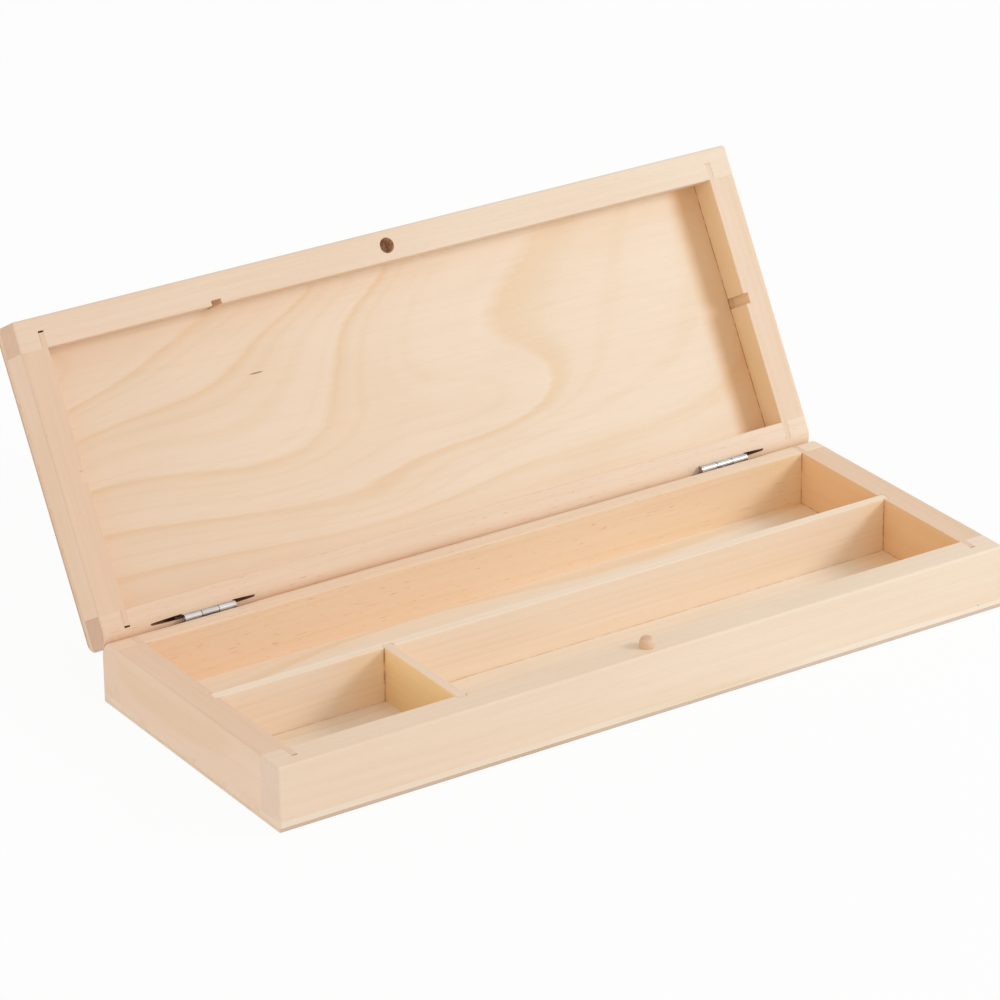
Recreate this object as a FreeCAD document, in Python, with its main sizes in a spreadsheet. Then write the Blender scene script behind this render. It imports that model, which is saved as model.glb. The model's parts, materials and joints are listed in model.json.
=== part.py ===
import FreeCAD, Part
import os
import Sketcher

# Hinged wooden pencil box, made as one glued-up carcase that is sawn apart into a tray and a lid.
# Millimetres. X runs along the box, Y from front to back and Z up, and the origin is the centre of
# the tray's underside. The lid stands open, leaning back against its stop.

# The driving sizes: a name, its value and what it measures.
SIZES = [
    ("box_length", "230", "outside, left to right"),
    ("box_depth", "89", "outside, front to back"),
    ("tray_height", "18.5", "underside to mating face"),
    ("lid_height", "11.5", "mating face to top, closed"),
    ("mating_gap", "0.1", "between the mating faces, closed"),
    ("ply_thickness", "3", "bottom panel and top panel"),
    ("rail_thickness", "8.7", "front and back rails"),
    ("end_thickness", "8.3", "left and right end rails"),
    ("arris", "0.7", "radius of the sanded outside edges"),
    ("inner_arris", "0.3", "radius of the inside top edges"),
    ("lid_back_radius", "2.7", "rounding along the back of the top panel"),
    ("tongue_thickness", "1.6", "lock joint, at the inner face of the end rails"),
    ("tongue_length", "4.3", "lock joint, into the long rails"),
    ("dado_spare_depth", "0.5", "void past the tongue's tip"),
    ("dado_clearance", "0.06", "dado wider than the tongue"),
    ("divider_thickness", "3", "both dividers"),
    ("groove_depth", "1.5", "divider grooves"),
    ("groove_clearance", "0.1", "groove wider than the divider"),
    ("divider_end_gap", "0.1", "past each end of a divider"),
    ("front_bay_width", "33.6", "front rail to long divider"),
    ("small_bay_length", "50", "left end to short divider"),
    ("peg_diameter", "4", "closing peg"),
    ("peg_proud", "2.9", "peg above the tray's mating face"),
    ("peg_bedding", "8", "peg below the tray's mating face"),
    ("peg_crown", "1.6", "rounding of the peg's tip"),
    ("peg_glue_gap", "0.05", "round the bedded peg"),
    ("catch_clearance", "0.2", "round the peg in the lid"),
    ("catch_tip_gap", "1.5", "past the peg's tip in the lid"),
    ("opening_angle", "120", "degrees from closed to the stop"),
    ("stop_gap", "0.15", "between the rounded back edges at the stop"),
    ("back_round", "5", "radius of the back edges on the mating side"),
    ("pin_diameter", "1", "hinge pin"),
    ("pin_clearance", "0.05", "round the pin"),
    ("pin_chamfer", "0.15", "pin ends"),
    ("leaf_thickness", "0.45", "hinge sheet"),
    ("hinge_length", "15.6", "three knuckles"),
    ("knuckle_gap", "0.2", "between knuckles"),
    ("roll_gap", "0.35", "between the leaf and the end of the rolled barrel"),
    ("seat_clearance", "0.1", "round the barrel"),
    ("leaf_shoulder", "1.8", "leaf narrower than the barrel, each side"),
    ("leaf_corner", "1.2", "rounding of the leaf's lower corners"),
    ("leaf_clearance", "0.15", "between the leaf's corners and the kerf"),
    ("left_hinge_inset", "31.7", "left end to hinge centre"),
    ("right_hinge_inset", "30.9", "right end to hinge centre"),
    ("kerf_width", "0.55", "slot for the leaf, at its bottom"),
    ("kerf_mouth", "1.3", "the same slot at the mating face"),
    ("kerf_depth", "5", "below the mating face"),
    ("kerf_disc_radius", "20", "cutter that makes the slot, thinner towards its rim"),
    ("kerf_shift", "1.45", "kerf centre nearer the box's end than the hinge"),
    ("left_kerf_travel", "6.5", "travel of the cutter, left"),
    ("right_kerf_travel", "0.6", "travel of the cutter, right"),
]

# Sizes and places that follow from the driving sizes. The back edges of tray and lid are rounded
# alike and mirror each other in a plane through the hinge axis, so the distance of the axis from
# the back face sets the angle at which the two rounded edges meet and stop the lid.
PLACES = [
    ("tray_rail_height", "=size.tray_height - size.ply_thickness"),
    ("lid_rail_height", "=size.lid_height - size.ply_thickness"),
    ("half_length", "=size.box_length / 2"),
    ("half_depth", "=size.box_depth / 2"),
    ("inner_half_length", "=size.box_length / 2 - size.end_thickness"),
    ("inner_half_depth", "=size.box_depth / 2 - size.rail_thickness"),
    ("lid_base", "=size.tray_height + size.mating_gap"),
    ("dado_depth", "=size.tongue_length + size.dado_spare_depth"),
    ("groove_width", "=size.divider_thickness + size.groove_clearance"),
    ("long_divider_y", "=-inner_half_depth + size.front_bay_width + size.divider_thickness / 2"),
    ("short_divider_x", "=-inner_half_length + size.small_bay_length + size.divider_thickness / 2"),
    ("peg_hole_diameter", "=size.peg_diameter + 2 * size.peg_glue_gap"),
    ("catch_diameter", "=size.peg_diameter + 2 * size.catch_clearance"),
    ("catch_depth", "=size.peg_proud - size.mating_gap + size.catch_tip_gap"),
    ("half_angle", "=size.opening_angle * 1deg / 2"),
    ("round_height", "=size.back_round + size.mating_gap / 2"),
    ("round_setback", "=(size.back_round + size.stop_gap / 2 - round_height * cos(half_angle)) / sin(half_angle)"),
    ("hinge_inset", "=size.back_round - round_setback"),
    ("hinge_y", "=half_depth - hinge_inset"),
    ("hinge_z", "=size.tray_height + size.mating_gap / 2"),
    ("left_hinge_x", "=-half_length + size.left_hinge_inset"),
    ("right_hinge_x", "=half_length - size.right_hinge_inset"),
    ("left_kerf_x", "=left_hinge_x - size.kerf_shift"),
    ("right_kerf_x", "=right_hinge_x + size.kerf_shift"),
    ("bore_radius", "=size.pin_diameter / 2 + size.pin_clearance"),
    ("barrel_radius", "=bore_radius + size.leaf_thickness"),
    ("seat_radius", "=barrel_radius + size.seat_clearance"),
    ("seat_length", "=size.hinge_length + 2 * size.seat_clearance"),
    ("leaf_plane", "=barrel_radius - size.leaf_thickness / 2"),
    ("leaf_half_width", "=size.hinge_length / 2 - size.leaf_shoulder"),
    ("leaf_offset", "=leaf_half_width + size.kerf_shift"),
    ("kerf_centre_height", "=size.kerf_disc_radius - size.kerf_depth"),
    ("leaf_reach", "=sqrt(size.kerf_disc_radius ^ 2 - leaf_offset ^ 2) - kerf_centre_height - size.leaf_clearance"),
    ("leaf_depth", "=leaf_reach + size.mating_gap / 2"),
    ("kerf_flare", "=(size.kerf_mouth - size.kerf_width) / 2"),
    ("kerf_clear", "=size.kerf_disc_radius - 2 * size.kerf_depth"),
    ("half_knuckle", "=size.hinge_length / 6"),
]

doc = FreeCAD.newDocument("pencil_box")
size = doc.addObject("Spreadsheet::Sheet", "size")
place = doc.addObject("Spreadsheet::Sheet", "place")


def fill_sheets():
    for row, (name, number, note) in enumerate(SIZES, 1):
        size.set("A%d" % row, name)
        size.set("B%d" % row, number)
        size.set("C%d" % row, note)
        size.setAlias("B%d" % row, name)
    for row, (name, formula) in enumerate(PLACES, 1):
        place.set("A%d" % row, name)
        place.set("B%d" % row, formula)
        place.setAlias("B%d" % row, name)
    doc.recompute()


def value(expression):
    result = place.evalExpression(expression)
    return float(getattr(result, "Value", result))


def signed(sign, expression):
    return expression if sign > 0 else "-(" + expression + ")"


# Bodies and where they stand

def tray_body(name, x, y, z):
    body = doc.addObject("PartDesign::Body", name)
    body.Label = name
    base = "placement(vector(%s; %s; %s); rotation(vector(0; 0; 1); 0))" % (x, y, z)
    body.setExpression("Placement", base)
    return body


def lid_body(name, x, y, z, turn="0"):
    # The place is where the piece lies with the lid shut. The swing then opens it about the hinge axis.
    body = doc.addObject("PartDesign::Body", name)
    body.Label = name
    swing = "placement(vector(0; place.hinge_y; place.hinge_z); rotation(vector(1; 0; 0); -size.opening_angle))"
    shut = "placement(vector(%s; %s - place.hinge_y; %s - place.hinge_z); rotation(vector(0; 1; 0); %s))"
    body.setExpression("Placement", swing + " * " + shut % (x, y, z, turn))
    return body


# Sketches

def new_sketch(body, name, role, offset=None):
    sketch = body.newObject("Sketcher::SketchObject", body.Name + "_" + name)
    plane = [feature for feature in body.Origin.OriginFeatures if feature.Role == role][0]
    sketch.AttachmentSupport = [(plane, "")]
    sketch.MapMode = "FlatFace"
    if offset:
        sketch.setExpression("AttachmentOffset.Base.z", offset)
    return sketch


def dimension(sketch, kind, geometry, point, expression):
    # A signed distance from the sketch's origin to a point of the geometry.
    constraint = Sketcher.Constraint(kind, -1, 1, geometry, point, value(expression))
    index = sketch.addConstraint(constraint)
    sketch.setExpression("Constraints[%d]" % index, expression)


def size_of_circle(sketch, kind, geometry, expression):
    index = sketch.addConstraint(Sketcher.Constraint(kind, geometry, value(expression)))
    sketch.setExpression("Constraints[%d]" % index, expression)


def rectangle(left, low, right, high):
    return [(left, low), (right, low), (right, high), (left, high)]


def outline(sketch, corners):
    # A closed outline of level and upright lines through the corners.
    first = sketch.GeometryCount
    count = len(corners)
    points = [FreeCAD.Vector(value(x), value(y), 0) for x, y in corners]
    for i in range(count):
        sketch.addGeometry(Part.LineSegment(points[i], points[(i + 1) % count]), False)
    for i in range(count):
        sketch.addConstraint(Sketcher.Constraint("Coincident", first + i, 2, first + (i + 1) % count, 1))
    for i in range(count):
        x, y = corners[i]
        if x == corners[(i + 1) % count][0]:
            sketch.addConstraint(Sketcher.Constraint("Vertical", first + i))
            dimension(sketch, "DistanceX", first + i, 1, x)
        else:
            sketch.addConstraint(Sketcher.Constraint("Horizontal", first + i))
            dimension(sketch, "DistanceY", first + i, 1, y)


def slanted_outline(sketch, corners):
    # A closed outline of straight lines, whose corners are each set by two distances.
    points = [FreeCAD.Vector(value(x), value(y), 0) for x, y in corners]
    count = len(corners)
    for i in range(count):
        sketch.addGeometry(Part.LineSegment(points[i], points[(i + 1) % count]), False)
    for i in range(count):
        sketch.addConstraint(Sketcher.Constraint("Coincident", i, 2, (i + 1) % count, 1))
        dimension(sketch, "DistanceX", i, 1, corners[i][0])
        dimension(sketch, "DistanceY", i, 1, corners[i][1])


def circle(sketch, x, y, diameter):
    centre = FreeCAD.Vector(value(x), value(y), 0)
    round_line = Part.Circle(centre, FreeCAD.Vector(0, 0, 1), value(diameter) / 2)
    index = sketch.addGeometry(round_line, False)
    dimension(sketch, "DistanceX", index, 3, x)
    dimension(sketch, "DistanceY", index, 3, y)
    size_of_circle(sketch, "Diameter", index, diameter)


# Features

def pad(body, sketch, length, symmetric=False, name="pad"):
    feature = body.newObject("PartDesign::Pad", body.Name + "_" + name)
    feature.Profile = sketch
    feature.setExpression("Length", length)
    if symmetric:
        feature.SideType = "Symmetric"
    doc.recompute()
    return feature


def pocket(body, name, sketch, length, symmetric=False):
    # One-sided pockets cut the way the sketch plane's normal points.
    feature = body.newObject("PartDesign::Pocket", body.Name + "_" + name)
    feature.Profile = sketch
    feature.setExpression("Length", length)
    if symmetric:
        feature.SideType = "Symmetric"
    else:
        feature.Reversed = True
    doc.recompute()
    return feature


def edges_where(feature, test):
    boxes = [edge.BoundBox for edge in feature.Shape.Edges]
    return ["Edge%d" % number for number, box in enumerate(boxes, 1) if test(box)]


def flat_at(low, high, level):
    return abs(low - level) < 0.001 and abs(high - level) < 0.001


def fillet(body, name, feature, radius, test):
    rounded = body.newObject("PartDesign::Fillet", body.Name + "_" + name)
    rounded.Base = (feature, edges_where(feature, test))
    rounded.setExpression("Radius", radius)
    doc.recompute()
    return rounded


def chamfer(body, name, feature, width, test):
    bevelled = body.newObject("PartDesign::Chamfer", body.Name + "_" + name)
    bevelled.Base = (feature, edges_where(feature, test))
    bevelled.setExpression("Size", width)
    doc.recompute()
    return bevelled


def hole(body, name, x, y, plane_offset, diameter, depth, upwards=False):
    # A flat-bottomed blind hole drilled from the plane at the offset, down or up.
    spot = new_sketch(body, name + "_spot", "XY_Plane", plane_offset)
    circle(spot, x, y, diameter)
    doc.recompute()
    drilled = body.newObject("PartDesign::Hole", body.Name + "_" + name)
    drilled.Profile = spot
    doc.recompute()
    drilled.DepthType = "Dimension"
    drilled.DrillPoint = "Flat"
    drilled.Reversed = upwards
    drilled.setExpression("Diameter", diameter)
    drilled.setExpression("Depth", depth)
    doc.recompute()
    return drilled


# Front and back rails. They run the full length. Their outer face is at local y = 0 and inward is
# +1 for a front rail and -1 for a back rail. Local z runs up from the rail's lower face.

def rail_blank(body, height, inward):
    plan = new_sketch(body, "plan", "XY_Plane")
    inner = signed(inward, "size.rail_thickness")
    outline(plan, rectangle("-place.half_length", "0", "place.half_length", inner))
    return pad(body, plan, height)


def cut_dadoes(body, height, inward):
    # A dado near each end takes the end rail's tongue, whose inner side it lines up with.
    plan = new_sketch(body, "dado_plan", "XY_Plane")
    near = "(place.inner_half_length)"
    far = "(place.inner_half_length + size.tongue_thickness + size.dado_clearance)"
    inner = signed(inward, "size.rail_thickness")
    bottom = signed(inward, "size.rail_thickness - place.dado_depth")
    outline(plan, rectangle("-" + far, bottom, "-" + near, inner))
    outline(plan, rectangle(near, bottom, far, inner))
    return pocket(body, "dadoes", plan, height)


def cut_rail_groove(body, height):
    # The short divider's groove runs through tray and lid alike, because it was cut before sawing.
    plan = new_sketch(body, "groove_plan", "XY_Plane")
    left = "place.short_divider_x - place.groove_width / 2"
    right = "place.short_divider_x + place.groove_width / 2"
    bottom = "size.rail_thickness - size.groove_depth"
    outline(plan, rectangle(left, bottom, right, "size.rail_thickness"))
    return pocket(body, "groove", plan, height)


def ease_rail(body, feature, inward, mating, glued):
    # The outside edges are sanded round, and the inside edge only between the end rails.
    half = value("place.half_length")
    inner = value(signed(inward, "size.rail_thickness"))
    clear = value("place.inner_half_length") + 0.001

    def outside(box):
        at_end = flat_at(box.XMin, box.XMax, half) or flat_at(box.XMin, box.XMax, -half)
        on_glue_face = flat_at(box.ZMin, box.ZMax, glued)
        on_inner_face = flat_at(box.YMin, box.YMax, inner)
        front_edge = flat_at(box.YMin, box.YMax, 0) and flat_at(box.ZMin, box.ZMax, mating)
        return front_edge or (at_end and not on_glue_face and not on_inner_face)

    def inside(box):
        on_edge = flat_at(box.YMin, box.YMax, inner) and flat_at(box.ZMin, box.ZMax, mating)
        return on_edge and box.XMin > -clear and box.XMax < clear

    feature = fillet(body, "outside_edges", feature, "size.arris", outside)
    return fillet(body, "inside_edge", feature, "size.inner_arris", inside)


def round_back(body, feature, mating):
    def back_edge(box):
        return flat_at(box.YMin, box.YMax, 0) and flat_at(box.ZMin, box.ZMax, mating)
    return fillet(body, "back_round", feature, "size.back_round", back_edge)


def blade_section(body, name, along, centre, into):
    # Half of the cutter's disc, cut through its axis, on the side that sinks into the wood. The
    # sketch's own level line is the axis. The flanks flare evenly from the rim past the mating face.
    sketch = new_sketch(body, name, "YZ_Plane", along)
    sketch.setExpression("AttachmentOffset.Base.y", centre)
    middle = "-place.hinge_inset - place.leaf_plane"
    rim = "(size.kerf_width / 2)"
    wide = "(size.kerf_width / 2 + 2 * place.kerf_flare)"
    low = signed(into, "size.kerf_disc_radius")
    high = signed(into, "place.kerf_clear")
    slanted_outline(sketch, [
        (middle + " - " + rim, low),
        (middle + " + " + rim, low),
        (middle + " + " + wide, high),
        (middle + " - " + wide, high),
    ])
    return sketch


def cut_kerf(body, name, x, travel, mating, into):
    # The cutter sinks into the mating face and then travels along the rail. The slot is level in
    # between and rises at each end in an arc of the disc. into is -1 where the wood lies below the
    # mating face and +1 where it lies above.
    centre = mating + " - " + signed(into, "place.kerf_centre_height")
    left = x + " - " + travel + " / 2"
    right = x + " + " + travel + " / 2"
    travelled = blade_section(body, name + "_travel_section", left, centre, into)
    pocket(body, name + "_travel", travelled, travel)
    for stop, along in (("left", left), ("right", right)):
        disc = blade_section(body, name + "_" + stop + "_section", along, centre, into)
        sunk = body.newObject("PartDesign::Groove", body.Name + "_" + name + "_" + stop)
        sunk.Profile = disc
        sunk.ReferenceAxis = (disc, ["H_Axis"])
        sunk.Angle = 360
        doc.recompute()


def cut_hinge_seats(body, mating, into):
    # A kerf for each leaf, and a shallow trough that the barrel lies in.
    axis = mating + " - " + signed(into, "size.mating_gap / 2")
    cut_kerf(body, "left_kerf", "place.left_kerf_x", "size.left_kerf_travel", mating, into)
    cut_kerf(body, "right_kerf", "place.right_kerf_x", "size.right_kerf_travel", mating, into)
    for side in ("left", "right"):
        trough = new_sketch(body, side + "_trough_outline", "YZ_Plane", "place." + side + "_hinge_x")
        circle(trough, "-place.hinge_inset", axis, "2 * place.seat_radius")
        pocket(body, side + "_trough", trough, "place.seat_length", symmetric=True)


def tray_front_rail():
    body = tray_body("tray_front_rail", "0", "-place.half_depth", "size.ply_thickness")
    height = "place.tray_rail_height"
    rail_blank(body, height, 1)
    cut_dadoes(body, height, 1)
    cut_rail_groove(body, height)
    drilled = hole(body, "peg_hole", "0", "size.rail_thickness / 2", height,
                   "place.peg_hole_diameter", "size.peg_bedding")
    ease_rail(body, drilled, 1, value(height), 0)
    return body


def tray_back_rail():
    body = tray_body("tray_back_rail", "0", "place.half_depth", "size.ply_thickness")
    height = "place.tray_rail_height"
    blank = rail_blank(body, height, -1)
    round_back(body, blank, value(height))
    dadoes = cut_dadoes(body, height, -1)
    ease_rail(body, dadoes, -1, value(height), 0)
    cut_hinge_seats(body, height, -1)
    return body


def lid_front_rail():
    body = lid_body("lid_front_rail", "0", "-place.half_depth", "place.lid_base")
    height = "place.lid_rail_height"
    rail_blank(body, height, 1)
    cut_dadoes(body, height, 1)
    cut_rail_groove(body, height)
    drilled = hole(body, "catch_hole", "0", "size.rail_thickness / 2", "0",
                   "place.catch_diameter", "place.catch_depth", upwards=True)
    ease_rail(body, drilled, 1, 0, value(height))
    return body


def lid_back_rail():
    body = lid_body("lid_back_rail", "0", "place.half_depth", "place.lid_base")
    height = "place.lid_rail_height"
    blank = rail_blank(body, height, -1)
    round_back(body, blank, 0)
    dadoes = cut_dadoes(body, height, -1)
    ease_rail(body, dadoes, -1, 0, value(height))
    cut_hinge_seats(body, "0", 1)
    return body


# End rails. They stand between the long rails, with a thin tongue on each end that is flush with
# the inner face. The outer face is at local x = 0, and inward is +1 on the left and -1 on the right.

def end_rail(body, height, inward, mating):
    plan = new_sketch(body, "plan", "XY_Plane")
    shoulder = signed(inward, "size.end_thickness - size.tongue_thickness")
    inner = signed(inward, "size.end_thickness")
    half = "(place.inner_half_depth)"
    tip = "(place.inner_half_depth + size.tongue_length)"
    outline(plan, rectangle("0", "-" + half, inner, half))
    pad(body, plan, height)
    groove_plan = new_sketch(body, "groove_plan", "XY_Plane")
    bottom = signed(inward, "size.end_thickness - size.groove_depth")
    low = "place.long_divider_y - place.groove_width / 2"
    high = "place.long_divider_y + place.groove_width / 2"
    outline(groove_plan, rectangle(bottom, low, inner, high))
    grooved = pocket(body, "groove", groove_plan, height)
    inner_x = value(inner)

    def outer_edge(box):
        return flat_at(box.XMin, box.XMax, 0) and flat_at(box.ZMin, box.ZMax, mating)

    def inner_edge(box):
        return flat_at(box.XMin, box.XMax, inner_x) and flat_at(box.ZMin, box.ZMax, mating)

    eased = fillet(body, "outside_edge", grooved, "size.arris", outer_edge)
    fillet(body, "inside_edge", eased, "size.inner_arris", inner_edge)
    # The tongues keep their sharp edges, because only the edge between the rails is eased.
    tongue_plan = new_sketch(body, "tongue_plan", "XY_Plane")
    outline(tongue_plan, rectangle(shoulder, "-" + tip, inner, "-" + half))
    outline(tongue_plan, rectangle(shoulder, half, inner, tip))
    return pad(body, tongue_plan, height, name="tongues")


def tray_left_end():
    body = tray_body("tray_left_end", "-place.half_length", "0", "size.ply_thickness")
    end_rail(body, "place.tray_rail_height", 1, value("place.tray_rail_height"))
    return body


def tray_right_end():
    body = tray_body("tray_right_end", "place.half_length", "0", "size.ply_thickness")
    end_rail(body, "place.tray_rail_height", -1, value("place.tray_rail_height"))
    return body


def lid_left_end():
    body = lid_body("lid_left_end", "-place.half_length", "0", "place.lid_base")
    end_rail(body, "place.lid_rail_height", 1, 0)
    return body


def lid_right_end():
    body = lid_body("lid_right_end", "place.half_length", "0", "place.lid_base")
    end_rail(body, "place.lid_rail_height", -1, 0)
    return body


# Plywood panels, glued flat over the rails

def panel_blank(body):
    plan = new_sketch(body, "plan", "XY_Plane")
    outline(plan, rectangle("-place.half_length", "-place.half_depth", "place.half_length", "place.half_depth"))
    return pad(body, plan, "size.ply_thickness")


def ease_panel(body, feature, glued):
    def outside(box):
        return not flat_at(box.ZMin, box.ZMax, glued)
    return fillet(body, "outside_edges", feature, "size.arris", outside)


def tray_bottom_panel():
    body = tray_body("tray_bottom_panel", "0", "0", "0")
    ease_panel(body, panel_blank(body), value("size.ply_thickness"))
    return body


def lid_top_panel():
    body = lid_body("lid_top_panel", "0", "0", "(place.lid_base + place.lid_rail_height)")
    blank = panel_blank(body)
    back = value("place.half_depth")
    front = -back
    half = value("place.half_length")
    top = value("size.ply_thickness")

    def back_edge(box):
        return flat_at(box.YMin, box.YMax, back) and flat_at(box.ZMin, box.ZMax, top)

    def outside(box):
        at_end = flat_at(box.XMin, box.XMax, half) or flat_at(box.XMin, box.XMax, -half)
        front_edge = flat_at(box.YMin, box.YMax, front) and flat_at(box.ZMin, box.ZMax, top)
        return (at_end and not flat_at(box.ZMin, box.ZMax, 0)) or front_edge

    rounded = fillet(body, "back_round", blank, "size.lid_back_radius", back_edge)
    fillet(body, "outside_edges", rounded, "size.arris", outside)
    return body


# Dividers, flush with the tray's mating face

def long_divider():
    body = tray_body("long_divider", "0", "place.long_divider_y", "size.ply_thickness")
    plan = new_sketch(body, "plan", "XY_Plane")
    half = "(place.inner_half_length + size.groove_depth - size.divider_end_gap)"
    face = "size.divider_thickness / 2"
    outline(plan, rectangle("-" + half, "-" + face, half, face))
    height = "place.tray_rail_height"
    pad(body, plan, height)
    groove_plan = new_sketch(body, "groove_plan", "XY_Plane")
    left = "place.short_divider_x - place.groove_width / 2"
    right = "place.short_divider_x + place.groove_width / 2"
    outline(groove_plan, rectangle(left, "-" + face, right, "-" + face + " + size.groove_depth"))
    grooved = pocket(body, "groove", groove_plan, height)
    top = value(height)
    side = value(face)

    def top_edge(box):
        on_face = flat_at(box.YMin, box.YMax, side) or flat_at(box.YMin, box.YMax, -side)
        return on_face and flat_at(box.ZMin, box.ZMax, top)

    fillet(body, "top_edges", grooved, "size.inner_arris", top_edge)
    return body


def short_divider():
    body = tray_body("short_divider", "place.short_divider_x", "-place.inner_half_depth", "size.ply_thickness")
    plan = new_sketch(body, "plan", "XY_Plane")
    face = "size.divider_thickness / 2"
    into_rail = "-(size.groove_depth - size.divider_end_gap)"
    into_divider = "size.front_bay_width + size.groove_depth - size.divider_end_gap"
    outline(plan, rectangle("-" + face, into_rail, face, into_divider))
    height = "place.tray_rail_height"
    blank = pad(body, plan, height)
    top = value(height)
    side = value(face)

    def top_edge(box):
        on_face = flat_at(box.XMin, box.XMax, side) or flat_at(box.XMin, box.XMax, -side)
        return on_face and flat_at(box.ZMin, box.ZMax, top)

    fillet(body, "top_edges", blank, "size.inner_arris", top_edge)
    return body


def closing_peg():
    # Local z = 0 is the tray's mating face.
    body = tray_body("closing_peg", "0", "-place.half_depth + size.rail_thickness / 2", "size.tray_height")
    section = new_sketch(body, "section", "XY_Plane", "-size.peg_bedding")
    circle(section, "0", "0", "size.peg_diameter")
    shank = pad(body, section, "size.peg_bedding + size.peg_proud")
    top = value("size.peg_proud")

    def tip(box):
        return flat_at(box.ZMin, box.ZMax, top)

    fillet(body, "crown", shank, "size.peg_crown", tip)
    return body


# Press-in hinges. A leaf is one strip of sheet, rolled at the edge into a barrel round the pin and
# cut away where the other leaf's knuckles turn. Local x = y = z = 0 is the middle of the barrel. The
# leaf hangs down from the front of the barrel, and the lid's leaf is the same form turned over.

def rolled_leaf(body):
    sketch = new_sketch(body, "section", "YZ_Plane")
    outer = value("place.barrel_radius")
    inner = value("place.bore_radius")
    reach = value("place.leaf_depth")
    across = value("size.roll_gap") - inner
    rise = -(inner ** 2 - across ** 2) ** 0.5
    scale = outer / inner
    middle = FreeCAD.Vector(0, 0, 0)
    turn = FreeCAD.Vector(0, 0, 1)
    barrel = Part.Circle(middle, turn, outer)
    bore = Part.Circle(middle, turn, inner)
    leaf_foot = FreeCAD.Vector(-outer, -reach, 0)
    leaf_foot_inside = FreeCAD.Vector(-inner, -reach, 0)
    roll_start = FreeCAD.Vector(-outer, 0, 0)
    roll_start_inside = FreeCAD.Vector(-inner, 0, 0)
    roll_end = FreeCAD.Vector(across * scale, rise * scale, 0)
    roll_end_inside = FreeCAD.Vector(across, rise, 0)
    full_turn = 2 * 3.141592653589793
    sketch.addGeometry(Part.LineSegment(leaf_foot, roll_start), False)
    sketch.addGeometry(Part.ArcOfCircle(barrel, barrel.parameter(roll_end) - full_turn, full_turn / 2), False)
    sketch.addGeometry(Part.LineSegment(roll_end, roll_end_inside), False)
    sketch.addGeometry(Part.ArcOfCircle(bore, bore.parameter(roll_end_inside) - full_turn, full_turn / 2), False)
    sketch.addGeometry(Part.LineSegment(roll_start_inside, leaf_foot_inside), False)
    sketch.addGeometry(Part.LineSegment(leaf_foot_inside, leaf_foot), False)
    sketch.addConstraint(Sketcher.Constraint("Tangent", 0, 2, 1, 2))
    sketch.addConstraint(Sketcher.Constraint("Coincident", 1, 1, 2, 1))
    sketch.addConstraint(Sketcher.Constraint("Coincident", 2, 2, 3, 1))
    sketch.addConstraint(Sketcher.Constraint("Tangent", 3, 2, 4, 1))
    sketch.addConstraint(Sketcher.Constraint("Coincident", 4, 2, 5, 1))
    sketch.addConstraint(Sketcher.Constraint("Coincident", 5, 2, 0, 1))
    sketch.addConstraint(Sketcher.Constraint("Coincident", 1, 3, -1, 1))
    sketch.addConstraint(Sketcher.Constraint("Coincident", 3, 3, -1, 1))
    sketch.addConstraint(Sketcher.Constraint("Vertical", 0))
    sketch.addConstraint(Sketcher.Constraint("Vertical", 4))
    sketch.addConstraint(Sketcher.Constraint("Horizontal", 5))
    sketch.addConstraint(Sketcher.Constraint("PointOnObject", -1, 1, 2))
    size_of_circle(sketch, "Radius", 1, "place.barrel_radius")
    size_of_circle(sketch, "Radius", 3, "place.bore_radius")
    dimension(sketch, "DistanceX", 2, 2, "size.roll_gap - place.bore_radius")
    dimension(sketch, "DistanceY", 0, 1, "-place.leaf_depth")
    return pad(body, sketch, "size.hinge_length", symmetric=True)


def cut_leaf(body, notches):
    # Notches for the other leaf's knuckles, and the shoulders that make the leaf narrower.
    sketch = new_sketch(body, "cut_outline", "XZ_Plane")
    past = "(size.hinge_length / 2 + place.barrel_radius)"
    edge = "(place.leaf_half_width)"
    foot = "-(place.leaf_depth + place.barrel_radius)"
    neck = "-(place.seat_radius)"
    for left, right in notches:
        outline(sketch, rectangle(left, neck, right, "place.seat_radius"))
    shoulders = new_sketch(body, "shoulder_outline", "XZ_Plane")
    outline(shoulders, rectangle("-" + past, foot, "-" + edge, neck))
    outline(shoulders, rectangle(edge, foot, past, neck))
    pocket(body, "notches", sketch, "4 * place.barrel_radius", symmetric=True)
    narrowed = pocket(body, "shoulders", shoulders, "4 * place.barrel_radius", symmetric=True)
    half = value(edge)
    low = -value("place.leaf_depth")

    def corner(box):
        at_side = flat_at(box.XMin, box.XMax, half) or flat_at(box.XMin, box.XMax, -half)
        return at_side and flat_at(box.ZMin, box.ZMax, low)

    return fillet(body, "corners", narrowed, "size.leaf_corner", corner)


def hinge_tray_leaf(side):
    body = tray_body(side + "_hinge_tray_leaf", "place." + side + "_hinge_x", "place.hinge_y", "place.hinge_z")
    rolled_leaf(body)
    half_notch = "(place.half_knuckle + size.knuckle_gap / 2)"
    cut_leaf(body, [("-" + half_notch, half_notch)])
    return body


def hinge_lid_leaf(side):
    name = side + "_hinge_lid_leaf"
    body = lid_body(name, "place." + side + "_hinge_x", "place.hinge_y", "place.hinge_z", turn="180")
    rolled_leaf(body)
    near = "(place.half_knuckle - size.knuckle_gap / 2)"
    past = "(size.hinge_length / 2 + place.barrel_radius)"
    cut_leaf(body, [("-" + past, "-" + near), (near, past)])
    return body


def hinge_pin(side):
    body = tray_body(side + "_hinge_pin", "place." + side + "_hinge_x", "place.hinge_y", "place.hinge_z")
    section = new_sketch(body, "section", "YZ_Plane")
    circle(section, "0", "0", "size.pin_diameter")
    rod = pad(body, section, "size.hinge_length", symmetric=True)
    half = value("size.hinge_length / 2")

    def rim(box):
        return flat_at(box.XMin, box.XMax, half) or flat_at(box.XMin, box.XMax, -half)

    chamfer(body, "ends", rod, "size.pin_chamfer", rim)
    return body


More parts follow.
